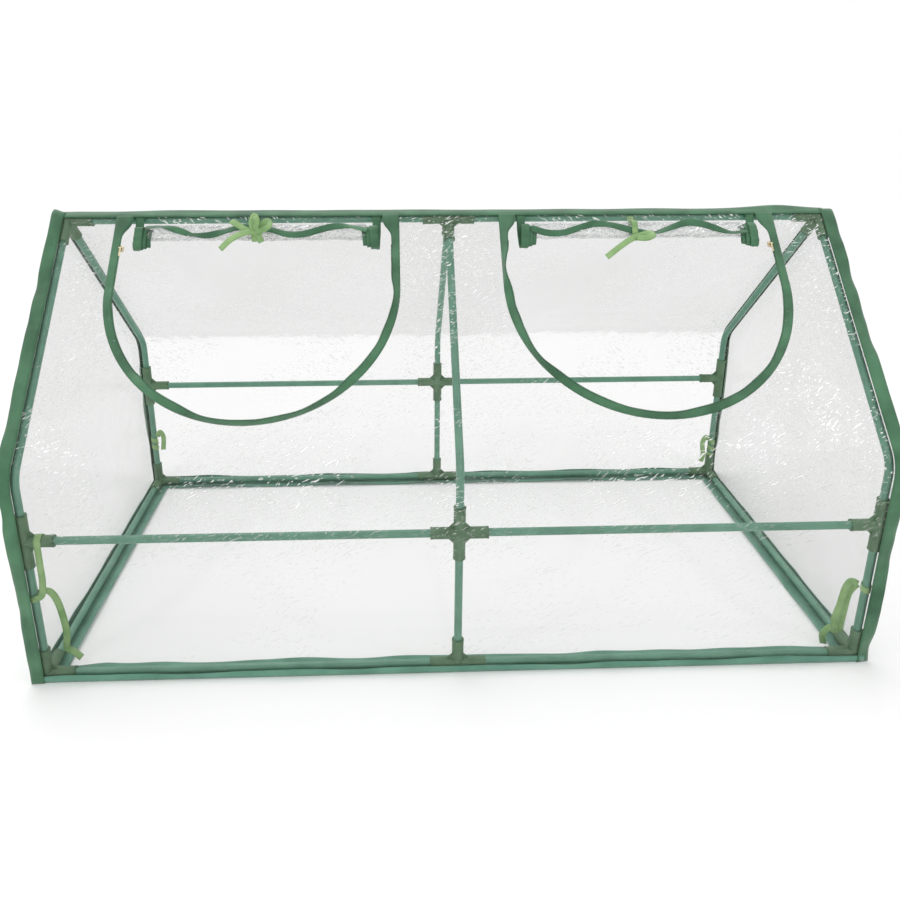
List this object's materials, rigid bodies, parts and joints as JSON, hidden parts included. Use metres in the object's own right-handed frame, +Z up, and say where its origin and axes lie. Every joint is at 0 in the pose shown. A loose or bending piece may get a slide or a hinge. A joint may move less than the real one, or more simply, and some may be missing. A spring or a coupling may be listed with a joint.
{
  "type": "mini greenhouse",
  "caption": "Low garden greenhouse: push-fit frame of green coated tube under a clear film cover, with zipped roll-up doors in the sloping front roof.",
  "frame": {"origin": "On the ground, under the middle of the ridge", "axes": "+X right along the ridge, +Y to the rear, +Z up; the doors are on the -Y side"},
  "size_m": [1.79, 0.9, 0.9295],
  "materials": {
    "clear_film": "clear, wrinkled PVC film",
    "coated_steel": "smooth green plastic coating, satin",
    "moulded_plastic": "moulded, fine-grained",
    "green_tape": "woven tape",
    "light_ribbon": "thin woven ribbon",
    "zip_metal": "plated, slightly worn"
  },
  "bodies": {
    "greenhouse": {"frame_ties": "light_ribbon", "front_base_tee": "moulded_plastic", "front_cross": "moulded_plastic", "front_left_base_corner": "moulded_plastic", "front_left_base_rail": "coated_steel", "front_left_bent_tube": "coated_steel", "front_left_side_rail": "coated_steel", "front_left_side_tee": "moulded_plastic", "front_left_upright": "coated_steel", "front_middle_bent_tube": "coated_steel", "front_middle_upright": "coated_steel", "front_panel": "clear_film", "front_right_base_corner": "moulded_plastic", "front_right_base_rail": "coated_steel", "front_right_bent_tube": "coated_steel", "front_right_side_rail": "coated_steel", "front_right_side_tee": "moulded_plastic", "front_right_upright": "coated_steel", "hem_binding": "green_tape", "left_base_cross_rail": "coated_steel", "left_door_zip_track": "green_tape", "left_gable_binding": "green_tape", "left_gable_panel": "clear_film", "left_ridge_corner": "moulded_plastic", "left_ridge_tube": "coated_steel", "rear_base_tee": "moulded_plastic", "rear_cross": "moulded_plastic", "rear_left_base_corner": "moulded_plastic", "rear_left_base_rail": "coated_steel", "rear_left_bent_tube": "coated_steel", "rear_left_side_rail": "coated_steel", "rear_left_side_tee": "moulded_plastic", "rear_left_upright": "coated_steel", "rear_middle_bent_tube": "coated_steel", "rear_middle_upright": "coated_steel", "rear_panel": "clear_film", "rear_right_base_corner": "moulded_plastic", "rear_right_base_rail": "coated_steel", "rear_right_bent_tube": "coated_steel", "rear_right_side_rail": "coated_steel", "rear_right_side_tee": "moulded_plastic", "rear_right_upright": "coated_steel", "ridge_binding": "green_tape", "ridge_cross": "moulded_plastic", "right_base_cross_rail": "coated_steel", "right_door_zip_track": "green_tape", "right_gable_binding": "green_tape", "right_gable_panel": "clear_film", "right_ridge_corner": "moulded_plastic", "right_ridge_tube": "coated_steel"},
    "left_door_roll": {"left_door_flap": "clear_film", "left_flap_zip_tape": "green_tape", "left_roll_tie": "light_ribbon"},
    "right_door_roll": {"right_door_flap": "clear_film", "right_flap_zip_tape": "green_tape", "right_roll_tie": "light_ribbon"},
    "left_zip_slider": {"left_slider": "zip_metal"},
    "right_zip_slider": {"right_slider": "zip_metal"},
    "left_zip_pull": {"left_pull_tab": "zip_metal"},
    "right_zip_pull": {"right_pull_tab": "zip_metal"}
  },
  "joints": [
    {"name": "left_door_lift", "type": "hinge", "parent": "greenhouse", "child": "left_door_roll", "pos_m": [-0.438, -0.01096, 0.92206], "axis": [-1, 0, 0], "range_deg": [0, 100]},
    {"name": "left_zip_slide", "type": "slide", "parent": "greenhouse", "child": "left_zip_slider", "axis": [0, -0.7071, -0.7071], "range_m": [0, 0.085]},
    {"name": "left_pull_swing", "type": "hinge", "parent": "left_zip_slider", "child": "left_zip_pull", "pos_m": [-0.7405, -0.07616, 0.86281], "axis": [-1, 0, 0], "range_deg": [0, 150]},
    {"name": "right_door_lift", "type": "hinge", "parent": "greenhouse", "child": "right_door_roll", "pos_m": [0.438, -0.01096, 0.92206], "axis": [-1, 0, 0], "range_deg": [0, 100]},
    {"name": "right_zip_slide", "type": "slide", "parent": "greenhouse", "child": "right_zip_slider", "axis": [0, -0.7071, -0.7071], "range_m": [0, 0.085]},
    {"name": "right_pull_swing", "type": "hinge", "parent": "right_zip_slider", "child": "right_zip_pull", "pos_m": [0.7405, -0.07616, 0.86281], "axis": [-1, 0, 0], "range_deg": [0, 150]}
  ]
}
